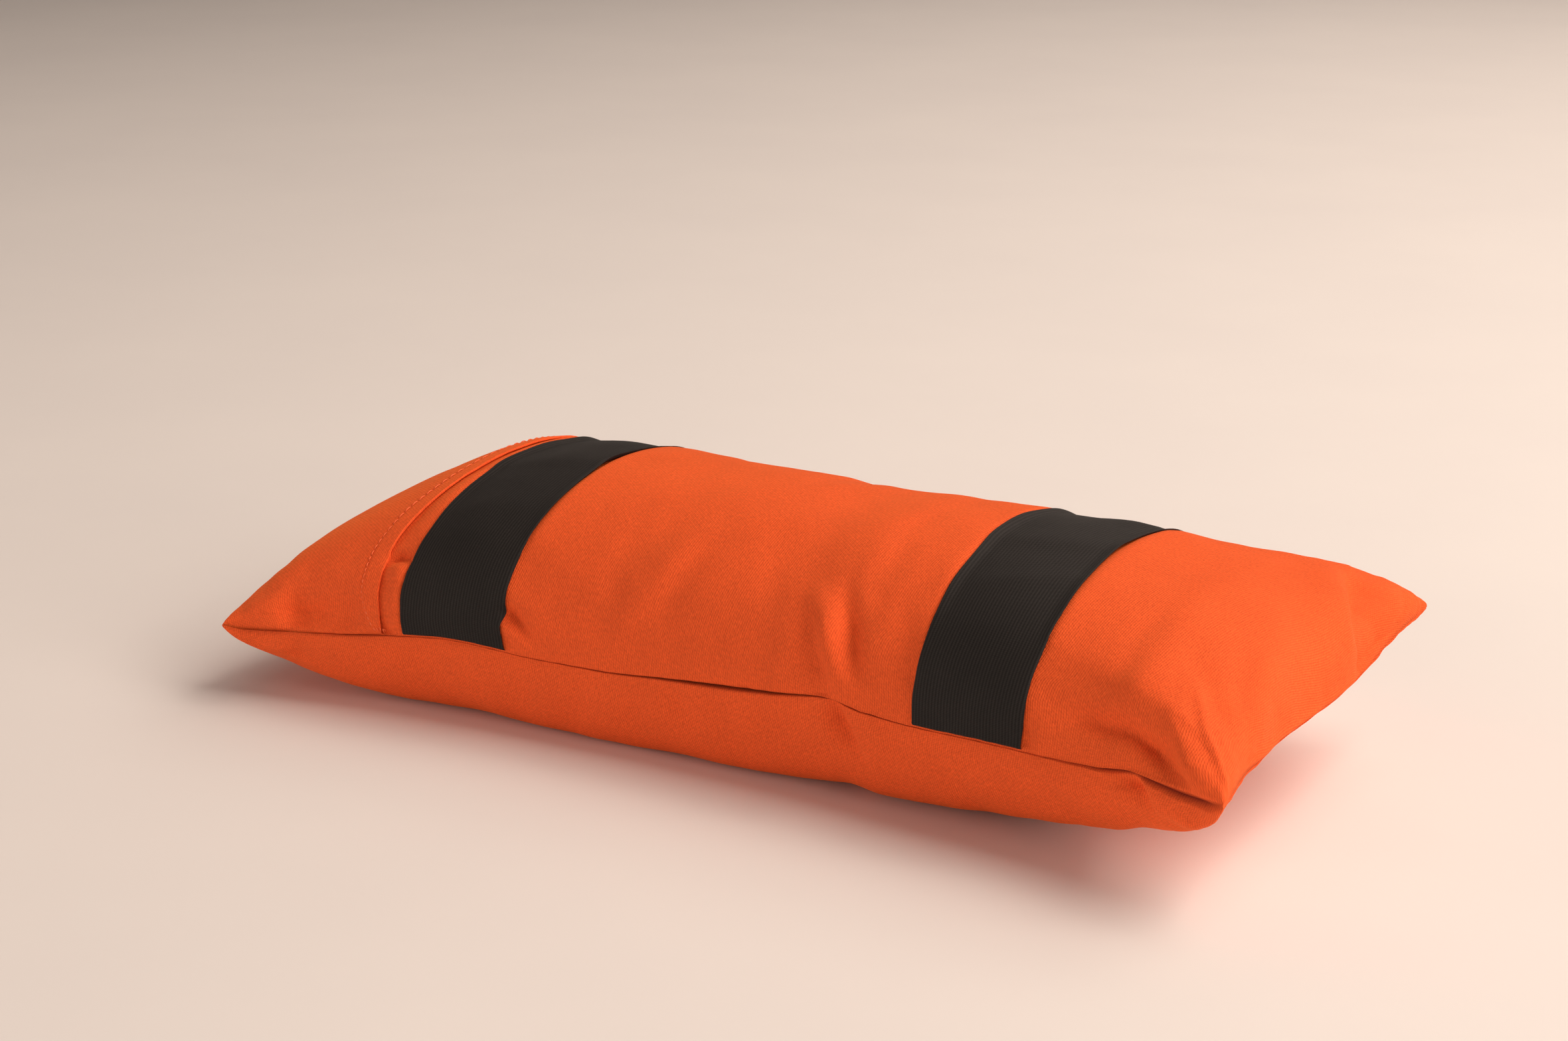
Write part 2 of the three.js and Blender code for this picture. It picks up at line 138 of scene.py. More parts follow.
# Creases of the bottom cloth, with the distance counted from the same seams
BOTTOM_CREASES = [
    (9.0, 3.5, 2, [(60, -115, -2.4), (62, -104, -4.8), (66, -92, -3.8), (71, -78, -1.0)]),
    (4.0, 8.0, 3, [(53, -112, 1.0), (54, -100, 1.8), (57, -86, 0.9)]),
    (6.0, 6.0, 9, [(74, -112, 0.5), (80, -94, 0.9), (88, -80, 0.4)]),
    (9.0, 3.5, 2, [(194, -115, -2.4), (196, -106, -4.8), (199, -96, -3.4), (202, -87, -0.8)]),
    (4.0, 7.0, 4, [(186, -112, 0.8), (188, -100, 1.4), (189, -92, 0.6)]),
    (7.0, 8.0, 9, [(202, -108, 0.9), (213, -98, 1.4), (222, -86, 1.0)]),
    (8.0, 5.0, 3, [(233, -106, 0.6), (229, -92, 1.0), (225, -78, 0.8), (221, -68, 0.3)]),
    (16.0, 15.0, 9, [(210, -66, 1.4), (198, -58, 3.0), (180, -58, 2.6), (166, -62, 1.2)]),
    # the filling's weight on the floor: the cloth rolls out a little before it touches down
    (17.0, 17.0, 9, [(-190, -66, 0.8), (-120, -64, 1.6), (-40, -62, 1.8), (10, -60, 3.8), (50, -58, 4.8),
                     (90, -60, 3.0), (150, -62, 1.4)]),
    (6.0, 5.0, 9, [(-209, -113, 0.6), (-207, -98, 1.0)]),
    (4.5, 6.0, 9, [(-203, -112, -0.6), (-204, -94, -1.4)]),
    (3.5, 3.5, 9, [(154, -108, 0.4), (167, -92, 0.8)]),
    (7.0, 7.0, 9, [(-20, -112, -0.4), (-14, -96, -0.9), (-10, -82, -0.4)]),
    (6.0, 6.0, 9, [(-120, -110, 0.3), (-112, -92, 0.6)]),
    (10.0, 12.0, 9, [(215, 100, -0.9), (206, 86, -2.4), (197, 74, -0.8)]),
    (6.0, 8.0, 9, [(70, 112, -0.8), (66, 96, -2.0), (60, 80, -0.5)]),
    (8.0, 6.0, 9, [(-96, 112, -0.8), (-101, 96, -2.0), (-106, 80, -0.5)]),
    (8.0, 10.0, 9, [(-212, 100, -0.9), (-203, 86, -2.4), (-194, 76, -0.8)]),
]

# The right end's seam between its corners: how far its puckers and the spare cloth lift it, at each y
END_LIFT_ROWS = np.array([
    (-110, 0.0), (-97, 1.0), (-77, 2.7), (-64, 2.3), (-48, 2.5), (-35, 1.8), (-21, 0.6), (-10, -0.2),
    (1, -1.0), (16, -1.9), (27, -1.8), (44, -1.5), (70, 0.2), (91, 0.9), (110, 0.3)])
END_LIFT_FADE = 15.0
END_LIFT_DIRECTION = np.array([-0.55, 0, 0.88])

# Closure flap: fold of its hem from front seam to back seam, as x at a cloth distance, and its layers
HEM_ROWS = np.array([
    (-117, -159.0), (-104, -160.8), (-84, -162.8), (-62, -163.4), (-40, -160.6), (-20, -157.8),
    (0, -156.6), (30, -158.0), (70, -160.0), (117, -159.2)])
HEM_WIDTH, HEM_WIDTH_AT_SEAM = 8.8, 7.2
FLAP_STEP = 1.5
FLAP_THICKNESS, HEM_THICKNESS = 0.8, 1.2
FLAP_EASE_X = -151.0
FLAP_GRID_END = -0.6745
GROOVE_DEPTH, GROOVE_WIDTH = 0.45, 0.9
HEM_RAISE, HEM_LUMPS, HEM_LUMP_LENGTH = 0.25, 0.05, 12

# Elastics: x of the middle at a cloth distance, as it wanders sideways on its way over the cushion
ELASTIC_WIDTH, ELASTIC_THICKNESS = 50.0, 1.3
ELASTIC_LIE, ELASTIC_WAVE, ELASTIC_WAVE_LENGTH, ELASTIC_DIP = 0.15, 0.25, 34, -0.1
ELASTIC_EDGE_WANDER, ELASTIC_EDGE_WAVE_LENGTH, ELASTIC_EDGE_ROUNDNESS = 0.25, 30, 26
LEFT_ELASTIC = np.array([(-117, -123.4), (-100, -124.9), (-84, -124.8), (-66, -124.6), (-40, -123.4),
                         (0, -123.8), (60, -124.6), (117, -124.6)])
RIGHT_ELASTIC = np.array([(-117, 121.0), (-98, 120.6), (-78, 121.2), (-55, 122.4), (-30, 122.6),
                          (0, 121.4), (60, 120.6), (117, 121.6)])

# How deep an elastic presses the filling in, how far inside and outside its edge that begins and ends, and
# how far from a seam and from the crown it begins and is full
ELASTIC_PRESS = 2.5
PRESS_INSIDE, PRESS_OUTSIDE = 5, 3
PRESS_FROM_SEAM, PRESS_FULL_AT = 8, 20

# Soft bends of the elastics over the crown, in the same form as the creases
ELASTIC_BENDS = [
    (10.0, 4.5, 9, [(-150, -13, 0.8), (-125, -9, 1.3), (-98, -4, 0.9)]),
    (7.0, 4.5, 9, [(96, -13, 0.5), (118, -8, 1.1), (144, -2, 0.8)]),
    (5.0, 5.0, 9, [(108, -36, 0.3), (126, -31, 0.9), (142, -24, 0.7)]),
    (7.0, 6.0, 9, [(-148, -44, 0.3), (-128, -38, 0.8), (-102, -36, 0.3)]),
    (7.0, 7.0, 9, [(-148, 30, 0.5), (-122, 34, 0.5), (-100, 36, 0.0)]),
    (9.0, 9.0, 9, [(98, 34, 0.0), (115, 33, 0.1), (129, 32, 1.5), (138, 31, 1.5), (146, 30, 0.0)]),
]


def ease(start, end, at):
    """0 up to start, 1 from end on, and a smooth s-curve between them."""
    t = np.clip((at - start) / (end - start), 0, 1)
    return t * t * (3 - 2 * t)


def through_rows(rows, column, at):
    """Smooth curve through a table's rows that never overshoots them: a cubic between two rows whose slope at
    each row is the harmonic mean of the slopes beside it, or flat where they differ in sign."""
    x, y = rows[:, 0], rows[:, column]
    slope = np.diff(y) / np.diff(x)
    before, after = slope[:-1], slope[1:]
    rising = before * after > 0
    inner = np.where(rising, 2 * before * after / np.where(rising, before + after, 1), 0)
    pull = np.concatenate([slope[:1], inner, slope[-1:]])
    row = np.clip(np.searchsorted(x, at) - 1, 0, len(x) - 2)
    span = x[row + 1] - x[row]
    t = np.clip((at - x[row]) / span, 0, 1)
    rise = 3 * t * t - 2 * t ** 3
    bend = t * (1 - t) ** 2 * pull[row] + t * t * (t - 1) * pull[row + 1]
    return y[row] * (1 - rise) + y[row + 1] * rise + span * bend


def drift(x, y, size, seed, waves=14):
    """Smooth irregular field of about -1 to 1: the sum of cosine waves of about the given size in random
    directions."""
    draw = np.random.default_rng(seed)
    turn = draw.uniform(0, 2 * np.pi, waves)
    pace = 2 * np.pi / (size * draw.uniform(0.7, 1.5, waves))
    start = draw.uniform(0, 2 * np.pi, waves)
    total = sum(np.cos(p * (x * np.cos(a) + y * np.sin(a)) + s) for p, a, s in zip(pace, turn, start))
    return total / np.sqrt(waves)


def cloth_distance(across):
    """Distance along the cloth from the crown in mm, negative towards the front seam: the distance from the
    seam grows with a power of the step in 'across'."""
    return np.sign(across) * HALF_PANEL * (1 - (1 - np.abs(across)) ** PANEL_POWER)


def across_at(distance):
    """'across' at a cloth distance from the crown, the inverse of cloth_distance."""
    return np.sign(distance) * (1 - (1 - np.abs(distance) / HALF_PANEL) ** (1 / PANEL_POWER))


def press_on_floor(z):
    """Heights with the part below the floor pressed flat, through a short rounded corner."""
    return np.where(z > FLOOR_EASE, z, np.clip(z + FLOOR_EASE, 0, None) ** 2 / (4 * FLOOR_EASE))


def filled_shape(along, across, side):
    """Smooth surface of the filled cushion in mm, without folds. 'along' runs from -1 at the left end to 1,
    'across' from -1 at the front seam to 1. y is the half width, less the draw-in of the long sides, times
    the sine of 'across'. z is the seam's height plus the crown, or less the belly, times a power of the
    cosine of 'across' and a run-out that falls to nothing at both ends. The belly hangs no deeper than the
    rise of the right end allows, blended by a sum of negative powers."""
    left = along < 0
    reach = np.where(left, LEFT_REACH, RIGHT_REACH)
    bluntness = np.where(left, LEFT_BLUNTNESS, RIGHT_BLUNTNESS)
    sag = np.where(left, LEFT_SAG, RIGHT_SAG)
    turn = np.sin(np.pi * across / 2)
    height = np.clip(np.cos(np.pi * across / 2), 0, None)
    x = along * (HALF_LENGTH - END_DRAW * height ** 2)
    y = (HALF_WIDTH - SIDE_DRAW * np.clip(1 - along ** 2, 0, None) ** SIDE_DRAW_POWER) * turn
    station = along * HALF_LENGTH
    front, back = (through_rows(SEAM_ROWS, column, station) for column in (1, 2))
    seam = front + (back - front) * (turn + 1) / 2 - sag * along ** 4 * (1 - across ** 2)
    run_out = np.clip(1 - np.abs(along) ** reach, 0, None) ** bluntness
    if side == BOTTOM:
        full = np.maximum(BELLY * run_out * height ** BELLY_ROUNDNESS, 1e-9)
        rise_at_seam = np.where(turn < 0, RISE_FRONT, RISE_BACK)
        slope = RISE_MIDDLE + (rise_at_seam - RISE_MIDDLE) * np.abs(across) ** RISE_POWER
        allowed = np.maximum(slope * (1 - along) * HALF_LENGTH, 1e-9)
        z = seam - (full ** -RISE_SHARPNESS + allowed ** -RISE_SHARPNESS) ** (-1 / RISE_SHARPNESS)
    else:
        crown = CROWN * (1 + CROWN_END_SWELL * along ** 2)
        crown = crown + sum(h * np.exp(-((station - at) / spread) ** 2) for at, h, spread in SWELL_ROWS)
        z = seam + crown * run_out * height ** CROWN_ROUNDNESS * (1 - CROWN_FORWARD_LEAN * turn)
    return np.stack(np.broadcast_arrays(x, y, z), -1)


def unit(vectors):
    """Vectors made one long."""
    return vectors / np.maximum(np.linalg.norm(vectors, axis=-1, keepdims=True), 1e-12)


# How fast the say of a seam in the level direction dies away from it, per unit of 'along' or 'across'
SEAM_SAY = 60


def directions(along, across, side, step=0.002):
    """Two fields of unit vectors: straight out of the cloth, from the cross product of small steps along and
    across; and level, straight out over the nearest seam, halfway between both seams at a tip."""
    def shifted(by_along, by_across):
        return filled_shape(np.clip(along + by_along, -1, 1), np.clip(across + by_across, -1, 1), side)
    lengthwise = shifted(step, 0) - shifted(-step, 0)
    crosswise = shifted(0, step) - shifted(0, -step)
    out = unit(np.cross(lengthwise, crosswise)) * side
    edge = np.sign(across)
    ahead, behind = (filled_shape(np.clip(along + by, -1, 1), edge, side) for by in (step, -step))
    rim = ahead - behind
    from_side = unit(np.stack([-rim[..., 1], rim[..., 0], 0 * edge * along], -1)) * edge[..., None]
    from_end = np.stack([np.sign(along) + 0 * across, 0 * along * across, 0 * along * across], -1)
    near_side = np.exp(-(1 - np.abs(across)) * SEAM_SAY)[..., None]
    near_end = np.exp(-(1 - np.abs(along)) * SEAM_SAY)[..., None]
    return out, unit(from_side * near_side + from_end * near_end + from_side * 1e-6)


def crease_height(creases, x, distance, from_seam):
    """Sum of all creases at each place: a crease's height runs evenly between its points, falls to both sides
    as a bell curve of the distance from its line, with a width of its own on each side, and eases out where
    it comes nearer to a seam than its hold."""
    total = 0 * x
    for left, right, hold, points in creases:
        nearest = np.full(x.shape, 1e9)
        height, width = 0 * x, 0 * x + 1
        for (x0, d0, h0), (x1, d1, h1) in zip(points[:-1], points[1:]):
            run, climb = x1 - x0, d1 - d0
            t = np.clip(((x - x0) * run + (distance - d0) * climb) / (run ** 2 + climb ** 2), 0, 1)
            off_x, off_d = x - x0 - t * run, distance - d0 - t * climb
            gap = np.hypot(off_x, off_d)
            closer = gap < nearest
            side_width = np.where(run * off_d - climb * off_x > 0, left, right)
            nearest = np.where(closer, gap, nearest)
            height = np.where(closer, h0 + (h1 - h0) * t, height)
            width = np.where(closer, side_width, width)
        total = total + height * np.exp(-(nearest / width) ** 2) * ease(0, hold, from_seam)
    return total


def steps_between(grid, axis):
    """Distance run along the cloth from a grid's first row or column to each of its points."""
    length = np.linalg.norm(np.diff(grid, axis=axis), axis=-1)
    return np.concatenate([np.zeros_like(length.take([0], axis)), np.cumsum(length, axis)], axis)


ROW_CROWDING = 1.5
FINE_STEPS = 6001


def cover_grid(start, end, columns, half_rows, crowd_start=1.0, crowd_end=1.0, row_crowding=ROW_CROWDING):
    """Grid of 'along' and 'across' from station start to station end and from seam to seam, with lines evenly
    spaced along the cloth but crowded at the seams by powers of the step. Over the crown the columns follow
    the crown's length, which turns down steeply at the ends, and at the long seams they are spaced level;
    the rows likewise. A high power of 'across' or 'along' blends the one spacing into the other."""
    fine = np.linspace(-1, 1, FINE_STEPS)
    fine = np.sign(fine) * (1 - (1 - np.abs(fine)) ** 3)
    run = steps_between(filled_shape(fine, 0 * fine, TOP)[:, None], 0)[:, 0]
    t = np.linspace(0, 1, columns + 1)
    both = np.where(t < 0.5, (2 * t) ** crowd_start / 2, 1 - (2 - 2 * t) ** crowd_end / 2)
    first, last = np.interp([start, end], fine, run)
    over_crown = np.interp(first + (last - first) * both, run, fine)
    at_side = start + (end - start) * both
    r = np.linspace(-1, 1, 2 * half_rows + 1)
    from_seam = (1 - np.abs(r)) ** row_crowding
    mid_rows = across_at(np.sign(r) * HALF_PANEL * (1 - from_seam))
    end_rows = 2 / np.pi * np.arcsin(np.sign(r) * (1 - from_seam))
    flatness = np.abs(r)[None] ** 6
    along = over_crown[:, None] * (1 - flatness) + at_side[:, None] * flatness
    near_end = np.abs(along) ** 10
    return along, mid_rows[None] * (1 - near_end) + end_rows[None] * near_end


def new_object(name, points, faces):
    """A smooth-shaded object of the given points in mm and faces, in the scene."""
    mesh = bpy.data.meshes.new(name)
    mesh.from_pydata((points.reshape(-1, 3) * MM).tolist(), [], faces)
    mesh.polygons.foreach_set("use_smooth", np.ones(len(faces), bool))
    mesh.update()
    made = bpy.data.objects.new(name, mesh)
    bpy.context.scene.collection.objects.link(made)
    return made


def shell(name, outer, inner, outer_map=None, inner_map=None, outer_gap=None, inner_gap=None):
    """Closed skin between an outer and an inner grid of points in mm that share their whole border. Each
    grid cell becomes one face, the inner ones turned round. The maps are cloth coordinates in mm for each
    point, the gaps how deep it lies in the closed gap of a seam, from 0 to 1, kept for the painted seam
    shade."""
    columns, rows = outer.shape[:2]
    outer_index = np.arange(columns * rows).reshape(columns, rows)
    inner_index = outer_index.copy()
    within = np.arange((columns - 2) * (rows - 2)).reshape(columns - 2, rows - 2)
    inner_index[1:-1, 1:-1] = columns * rows + within
    points = np.concatenate([outer.reshape(-1, 3), inner[1:-1, 1:-1].reshape(-1, 3)])

    def cells(grid, turned):
        corners = [grid[:-1, :-1], grid[1:, :-1], grid[1:, 1:], grid[:-1, 1:]]
        return np.stack(corners[::-1] if turned else corners, 2).reshape(-1, 4)
    faces = np.concatenate([cells(outer_index, False), cells(inner_index, True)])
    made = new_object(name, points, faces.tolist())
    mesh = made.data
    if outer_map is not None:
        inner_places = columns * rows + cells(outer_index, True).ravel()
        places = np.concatenate([cells(outer_index, False).ravel(), inner_places])
        both_maps = np.concatenate([outer_map.reshape(-1, 2), inner_map.reshape(-1, 2)])
        layer = mesh.uv_layers.new(name="cloth")
        layer.uv.foreach_set("vector", (both_maps[places] * MM).astype(np.float32).ravel())
    if outer_gap is not None:
        gap = np.concatenate([outer_gap.ravel(), inner_gap[1:-1, 1:-1].ravel()])
        mesh.attributes.new("seam_gap_painted_shade", "FLOAT", "POINT").data.foreach_set("value", gap.astype(np.float32))
    return made


# Filling pressure, run once on a coarser copy of the cover for the small puckers that the panels' spare
# cloth throws up beside the seams
SIM_COLUMNS, SIM_HALF_ROWS = 132, 30
SIM_FRAMES = 20
SPARE_CLOTH = 0.03
PUCKER_CAP = 5.0
PUCKER_SHARE = 0.3
BROAD_CELLS = 7
START_UNEVENNESS, START_WAVE_LENGTH = 0.25, 26
SIM_ALONG, SIM_ACROSS = cover_grid(-1, 1, SIM_COLUMNS, SIM_HALF_ROWS, 1.1, 1.1, 1.1)


def smoothed(field, cells):
    """Field blurred over a number of grid cells both ways: three passes of a running mean, its border kept by
    repeating the outermost values."""
    for axis in (0, 1):
        for _ in range(3):
            padded = np.concatenate([np.repeat(field.take([0], axis), cells, axis), field,
                                     np.repeat(field.take([-1], axis), cells, axis)], axis)
            run = np.cumsum(padded, axis)
            run = np.concatenate([np.zeros_like(run.take([0], axis)), run], axis)
            width = 2 * cells + 1
            size = field.shape[axis]
            field = (run.take(range(width, width + size), axis) - run.take(range(size), axis)) / width
    return field


def settle_under_pressure(pillow, pinned):
    """Runs Cloth on the pillow with air pressure and no gravity, its seams pinned and its panels a little too
    large for their place, and returns where its points end, in mm."""
    seam = pillow.vertex_groups.new(name="seam")
    seam.add(pinned.tolist(), 1.0, "REPLACE")
    cloth = pillow.modifiers.new("filling", "CLOTH")
    settings = cloth.settings
    settings.quality = 6
    settings.mass = 0.2
    settings.tension_stiffness = settings.compression_stiffness = 30
    settings.shear_stiffness = 12
    settings.bending_stiffness = 0.6
    settings.use_pressure = True
    settings.uniform_pressure_force = 4
    settings.vertex_group_mass = "seam"
    settings.shrink_min = -SPARE_CLOTH
    settings.effector_weights.gravity = 0
    cloth.collision_settings.use_collision = False
    cloth.point_cache.frame_start, cloth.point_cache.frame_end = 1, SIM_FRAMES
    scene = bpy.context.scene
    for frame_number in range(1, SIM_FRAMES + 1):
        scene.frame_set(frame_number)
    settled = pillow.evaluated_get(bpy.context.evaluated_depsgraph_get()).data
    points = np.empty(len(settled.vertices) * 3, np.float32)
    settled.vertices.foreach_get("co", points)
    scene.frame_set(1)
    return points.reshape(-1, 3).astype(float) / MM


def simulated_puckers():
    """For each side of the cover, how far the simulated cloth's puckers stand out at each point of its grid.
    The pillow's own broad bulging is taken off, since the filled shape has it already, and no point moves
    further than the cap."""
    along, across = SIM_ALONG, SIM_ACROSS
    sheets = {side: filled_shape(along, across, side) for side in (TOP, BOTTOM)}
    uneven = START_UNEVENNESS * drift(sheets[TOP][..., 0], cloth_distance(across), START_WAVE_LENGTH, seed=5)
    inside = np.zeros(along.shape)
    inside[1:-1, 1:-1] = 1
    start = {side: sheets[side] + directions(along, across, side)[0] * (uneven * inside)[..., None]
             for side in sheets}
    pillow = shell("pillow_under_pressure", start[TOP], start[BOTTOM])
    index = np.arange(along.size).reshape(along.shape)
    rim = np.unique(np.concatenate([index[0], index[-1], index[:, 0], index[:, -1]]))
    settled = settle_under_pressure(pillow, rim)
    bpy.data.objects.remove(pillow)
    ends = {TOP: settled[:along.size].reshape(*along.shape, 3), BOTTOM: start[BOTTOM].copy()}
    ends[BOTTOM][1:-1, 1:-1] = settled[along.size:].reshape(along.shape[0] - 2, along.shape[1] - 2, 3)
    puckers = {}
    for side, end in ends.items():
        moved = ((end - sheets[side]) * directions(along, across, side)[0]).sum(-1) * inside
        fine = moved - smoothed(moved, BROAD_CELLS)
        puckers[side] = np.clip(fine, -PUCKER_CAP, PUCKER_CAP) * inside
    return puckers


def spline_weights(at, count):
    """Weights that blend a row of count values into a smooth curve read at fractional places: the cubic
    B-spline's four weights around each place."""
    cell = np.clip(np.floor(at).astype(int), 0, count - 2)
    t = at - cell
    near = [(1 - t) ** 3 / 6, (3 * t ** 3 - 6 * t ** 2 + 4) / 6, (-3 * t ** 3 + 3 * t ** 2 + 3 * t + 1) / 6,
            t ** 3 / 6]
    weights = np.zeros((len(at), count))
    rows = np.arange(len(at))
    for offset, weight in zip((-1, 0, 1, 2), near):
        np.add.at(weights, (rows, np.clip(cell + offset, 0, count - 1)), weight)
    return weights


PUCKERS = simulated_puckers()


def pucker_height(along, across, side):
    """The simulated puckers read at each place, through the middle row and column of both grids."""
    middle_column, middle_row = SIM_COLUMNS // 2, SIM_HALF_ROWS
    columns = np.interp(along[:, along.shape[1] // 2], SIM_ALONG[:, middle_row], np.arange(SIM_COLUMNS + 1))
    rows = np.interp(across[along.shape[0] // 2], SIM_ACROSS[middle_column], np.arange(2 * SIM_HALF_ROWS + 1))
    lengthwise = spline_weights(columns, SIM_COLUMNS + 1)
    crosswise = spline_weights(rows, 2 * SIM_HALF_ROWS + 1)
    return lengthwise @ PUCKERS[side] @ crosswise.T


# Seam: how deep and how wide the two panels turn in, and how far their turned edges stand out beside it
TUCK_DEPTH, TUCK_WIDTH = 2.6, 0.5
EDGE_ROLL, EDGE_ROLL_AT, EDGE_ROLL_WIDTH = 0.35, 1.7, 1.1
# Width of the bell curve of painted shade along the seams' closed gap
GAP_WIDTH = 0.85
# The front edge stands out further beside the right end's hollow, from the first x on to the second
CORNER_ROLL, CORNER_ROLL_FROM, CORNER_ROLL_TO = 0.7, 184, 198
# Share of the tuck that the end seams, the left end's long seams and the tips have
END_SEAM_SHARE, LEFT_END_SHARE, TIP_SHARE = 0.25, 0.3, 0.35
LEFT_END_FROM, LEFT_END_TO = -190, -150
TIP_REACH = 14
# How far from a seam the cloth begins to move level instead of straight out of its face
LEVEL_WIDTH = 1.2
# The stitching's small pulls: height, length along the seam, reach into the panel
STITCH_PULL, STITCH_PULL_LENGTH, STITCH_PULL_REACH = 0.22, 8, 3.5
# Chance unevenness of the filled panels: height and length of its broad and of its fine waves
BROAD_HEIGHT, BROAD_LENGTH, FINE_HEIGHT, FINE_LENGTH = 0.35, 70, 0.10, 22
PANEL_HOLD = 5
ELASTIC_SMOOTHING = 0.85
# A grid whose first or last column is past this 'along' has that end's seam, and otherwise is far from it
AT_END = 0.99
FAR = 1e3


def under_elastic(x, distance):
    """Two fields: 1 under either elastic and 0 beside it, with a short slope at its edges; and how deep the
    elastics press the filled cover in, most over the crown."""
    held, pressed = 0 * x, 0 * x
    for rows in (LEFT_ELASTIC, RIGHT_ELASTIC):
        off = np.abs(x - through_rows(rows, 1, distance))
        under = 1 - ease(ELASTIC_WIDTH / 2 - PRESS_INSIDE, ELASTIC_WIDTH / 2 + PRESS_OUTSIDE, off)
        held = held + under
        full = ease(HALF_PANEL - PRESS_FROM_SEAM, PRESS_FULL_AT, np.abs(distance))
        pressed = pressed + ELASTIC_PRESS * under * full
    return held, pressed


def seam_distances(base, along):
    """Distance along the cloth from the nearest long seam and from the nearest end seam. A grid that stops
    short of the right end counts from the left one, and one that has neither end is far from both."""
    from_side = steps_between(base, 1)
    from_side = np.minimum(from_side, from_side[:, -1:] - from_side)
    run = steps_between(base, 0)
    if np.abs(along[0]).min() > AT_END and np.abs(along[-1]).min() > AT_END:
        return from_side, np.minimum(run, run[-1:] - run)
    return from_side, run if along[0, 0] < -AT_END else run + FAR


def cloth_relief(along, across, side, from_side, from_end):
    """How far the cloth stands out of the filled shape: creases, puckers and a slight unevenness that fade at
    the seams, smoothed and pressed in under the elastics, and the stitching's small pulls, irregular waves
    along the seam that die away from it."""
    x = along * HALF_LENGTH
    distance = cloth_distance(across) + 0 * along
    from_seam = np.minimum(from_side, from_end)
    free = ease(0, PANEL_HOLD, from_seam)
    held, pressed = under_elastic(x, distance)
    smooth_by = 1 - ELASTIC_SMOOTHING * held * (side == TOP)
    creases = crease_height(TOP_CREASES if side == TOP else BOTTOM_CREASES, x, distance, from_seam)
    unevenness = (BROAD_HEIGHT * drift(x, distance, BROAD_LENGTH, seed=11 + side)
                  + FINE_HEIGHT * drift(x, distance, FINE_LENGTH, seed=21 + side))
    small = unevenness * free + PUCKER_SHARE * pucker_height(along, across, side) * free
    along_seam = np.where(from_side < from_end, x, distance)
    pull = STITCH_PULL * drift(along_seam, from_seam * 0.4, STITCH_PULL_LENGTH, seed=31 + side)
    pull = pull * np.exp(-from_seam / STITCH_PULL_REACH)
    return (creases + small) * smooth_by - pressed * (side == TOP) + pull * ease(0, 1.2, from_seam)


def cover(along, across, side):
    """Surface of the finished cover in mm: the filled shape, moved straight out of the cloth by its relief
    and by the rolled edges beside the seams, then tucked in along the seams by a bell curve of the distance
    from them, less so at the end seams, the left end and the tips. Last, the right end's seam is lifted and
    the underside pressed on the floor. Also the distance from the nearest seam, and how deep each place lies
    in the closed gap between the two panels, a bell curve of that distance that the material paints as shade."""
    base = filled_shape(along, across, side)
    out, level_out = directions(along, across, side)
    from_side, from_end = seam_distances(base, along)
    from_seam = np.minimum(from_side, from_end)
    x = along * HALF_LENGTH
    relief = cloth_relief(along, across, side, from_side, from_end)
    at_corner = ease(CORNER_ROLL_FROM, CORNER_ROLL_TO, x) * (side == TOP) * (across < 0)
    roll = EDGE_ROLL + CORNER_ROLL * at_corner
    roll = roll * np.exp(-((from_seam - EDGE_ROLL_AT) / EDGE_ROLL_WIDTH) ** 2)
    at_seam = np.exp(-(from_seam / LEVEL_WIDTH) ** 2)[..., None]
    outward = unit(out * (1 - at_seam) + level_out * at_seam)
    tip = ease(0, TIP_REACH, np.hypot(from_side, from_end))
    drawn_in = 1 - (1 - END_SEAM_SHARE) * ease(3, -3, from_end - from_side)
    drawn_in = drawn_in * (LEFT_END_SHARE + (1 - LEFT_END_SHARE) * ease(LEFT_END_FROM, LEFT_END_TO, x))
    drawn_in = drawn_in * (TIP_SHARE + (1 - TIP_SHARE) * tip)
    tuck = TUCK_DEPTH * drawn_in * np.exp(-(from_seam / TUCK_WIDTH) ** 2)
    # painted seam shade: how deep each place lies in the closed gap, for the material to darken
    gap = drawn_in * np.exp(-(from_seam / GAP_WIDTH) ** 2)
    points = base + outward * (relief + roll * tip)[..., None] - level_out * tuck[..., None]
    from_right = (1 - along) * HALF_LENGTH
    end_lift = through_rows(END_LIFT_ROWS, 1, base[..., 1]) * np.exp(-(from_right / END_LIFT_FADE) ** 2)
    points = points + end_lift[..., None] * END_LIFT_DIRECTION
    points[..., 2] = press_on_floor(points[..., 2])
    return points, from_seam, gap


def cloth_map(points):
    """Cloth coordinates in mm: run along each row from the middle column, and along each column from the
    crown, so that the weave keeps its size and lies straight on the panels."""
    lengthwise, crosswise = steps_between(points, 0), steps_between(points, 1)
    column, row = points.shape[0] // 2, points.shape[1] // 2
    return np.stack([lengthwise - lengthwise[column], crosswise - crosswise[:, row:row + 1]], -1)


def sheet_faces(lying, out, middle, half_thickness):
    """Upper and under face of a sheet on the cover: its middle's height and half its thickness straight out
    of the cloth, both faces sharing one border."""
    top = lying + out * (middle + half_thickness)[..., None]
    under = lying + out * (middle - half_thickness)[..., None]
    for edge in (np.s_[0], np.s_[-1], np.s_[:, 0], np.s_[:, -1]):
        under[edge] = top[edge]
    return top, under


BODY_COLUMNS, BODY_HALF_ROWS = 288, 72
END_CROWDING, FOLD_CROWDING = 1.3, 2.2
# The bottom panel's cloth map lies this many half panels beside the top one's
BOTTOM_MAP_SHIFT = 2.4


